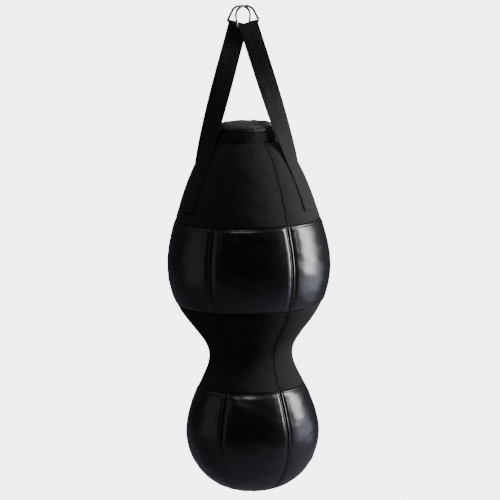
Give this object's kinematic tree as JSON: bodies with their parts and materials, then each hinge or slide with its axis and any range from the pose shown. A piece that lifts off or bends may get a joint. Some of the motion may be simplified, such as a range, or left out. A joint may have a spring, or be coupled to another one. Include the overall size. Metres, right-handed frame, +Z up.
{
  "type": "heavy punching bag",
  "caption": "Hourglass heavy punching bag: a large stuffed ball over a small one, joined by a slim waist, hung from two rings by webbing straps.",
  "frame": {"origin": "the hanging point, where a hook bears on the inside of the two D-rings' round tops", "axes": "+Z up along the bag's axis, -Y the front, +X to the right seen from the front, along the lid's zip"},
  "size_m": [0.421, 0.421, 1.2777],
  "materials": {
    "vinyl": "glossy black coated hide, fine grain",
    "canvas": "matte black woven canvas",
    "webbing": "black woven webbing, low sheen",
    "ring_chrome": "bright plated round wire",
    "foam": "grey open-cell foam sheet",
    "lining": "thin black woven lining",
    "filling": "packed shredded textile",
    "stiffener": "black plastic strip",
    "zip_teeth": "black moulded teeth",
    "zip_metal": "black enamelled zip slider"
  },
  "bodies": {
    "rear_ring": {"d_ring_left": "ring_chrome"},
    "bag": {"bottom_patch": "vinyl", "collar_band": "vinyl", "inner_liner": "lining", "lid_panel_front": "vinyl", "lid_panel_rear": "vinyl", "lower_ball_padding": "foam", "lower_ball_panel_1": "vinyl", "lower_ball_panel_2": "vinyl", "lower_ball_panel_3": "vinyl", "lower_ball_panel_4": "vinyl", "lower_ball_panel_5": "vinyl", "lower_ball_panel_6": "vinyl", "mouth_stiffener": "stiffener", "rim_binding": "vinyl", "shoulder_padding": "foam", "shoulder_panel_1": "canvas", "shoulder_panel_2": "canvas", "shoulder_panel_3": "canvas", "shoulder_panel_4": "canvas", "shoulder_panel_5": "canvas", "shoulder_panel_6": "canvas", "strap_front_left": "webbing", "strap_front_right": "webbing", "strap_loop_left": "webbing", "strap_loop_right": "webbing", "strap_rear_left": "webbing", "strap_rear_right": "webbing", "textile_filling": "filling", "upper_ball_padding": "foam", "upper_ball_panel_1": "vinyl", "upper_ball_panel_2": "vinyl", "upper_ball_panel_3": "vinyl", "upper_ball_panel_4": "vinyl", "upper_ball_panel_5": "vinyl", "upper_ball_panel_6": "vinyl", "waist_padding": "foam", "waist_panel_1": "canvas", "waist_panel_2": "canvas", "waist_panel_3": "canvas", "waist_panel_4": "canvas", "waist_panel_5": "canvas", "waist_panel_6": "canvas", "webbing_backing": "webbing", "zip_row_front": "zip_teeth", "zip_row_rear": "zip_teeth", "zip_stop_closed": "zip_teeth", "zip_stop_open": "zip_teeth", "zip_tape_front": "lining", "zip_tape_rear": "lining"},
    "front_ring": {"d_ring_right": "ring_chrome"},
    "slider": {"zip_slider": "zip_metal"},
    "pull_tab": {"zip_pull": "zip_metal"}
  },
  "joints": [
    {"name": "bag_swing", "type": "hinge", "parent": "rear_ring", "child": "bag", "pos_m": [0, 0, -0.0435], "axis": [1, 0, 0], "range_deg": [-45, 45], "deforming": ["strap_loop_left", "strap_loop_right"]},
    {"name": "front_ring_turn", "type": "hinge", "parent": "bag", "child": "front_ring", "pos_m": [0, 0, -0.0435], "axis": [1, 0, 0], "range_deg": [-45, 45]},
    {"name": "zip_slide", "type": "slide", "parent": "bag", "child": "slider", "axis": [-1, 0, 0], "range_m": [0, 0.096]},
    {"name": "pull_flip", "type": "hinge", "parent": "slider", "child": "pull_tab", "pos_m": [0.048, 0, -0.2964], "axis": [0, 1, 0], "range_deg": [0, 165]}
  ],
  "couplings": [
    {"joint": "front_ring_turn", "follows": "bag_swing", "ratio": -1}
  ]
}
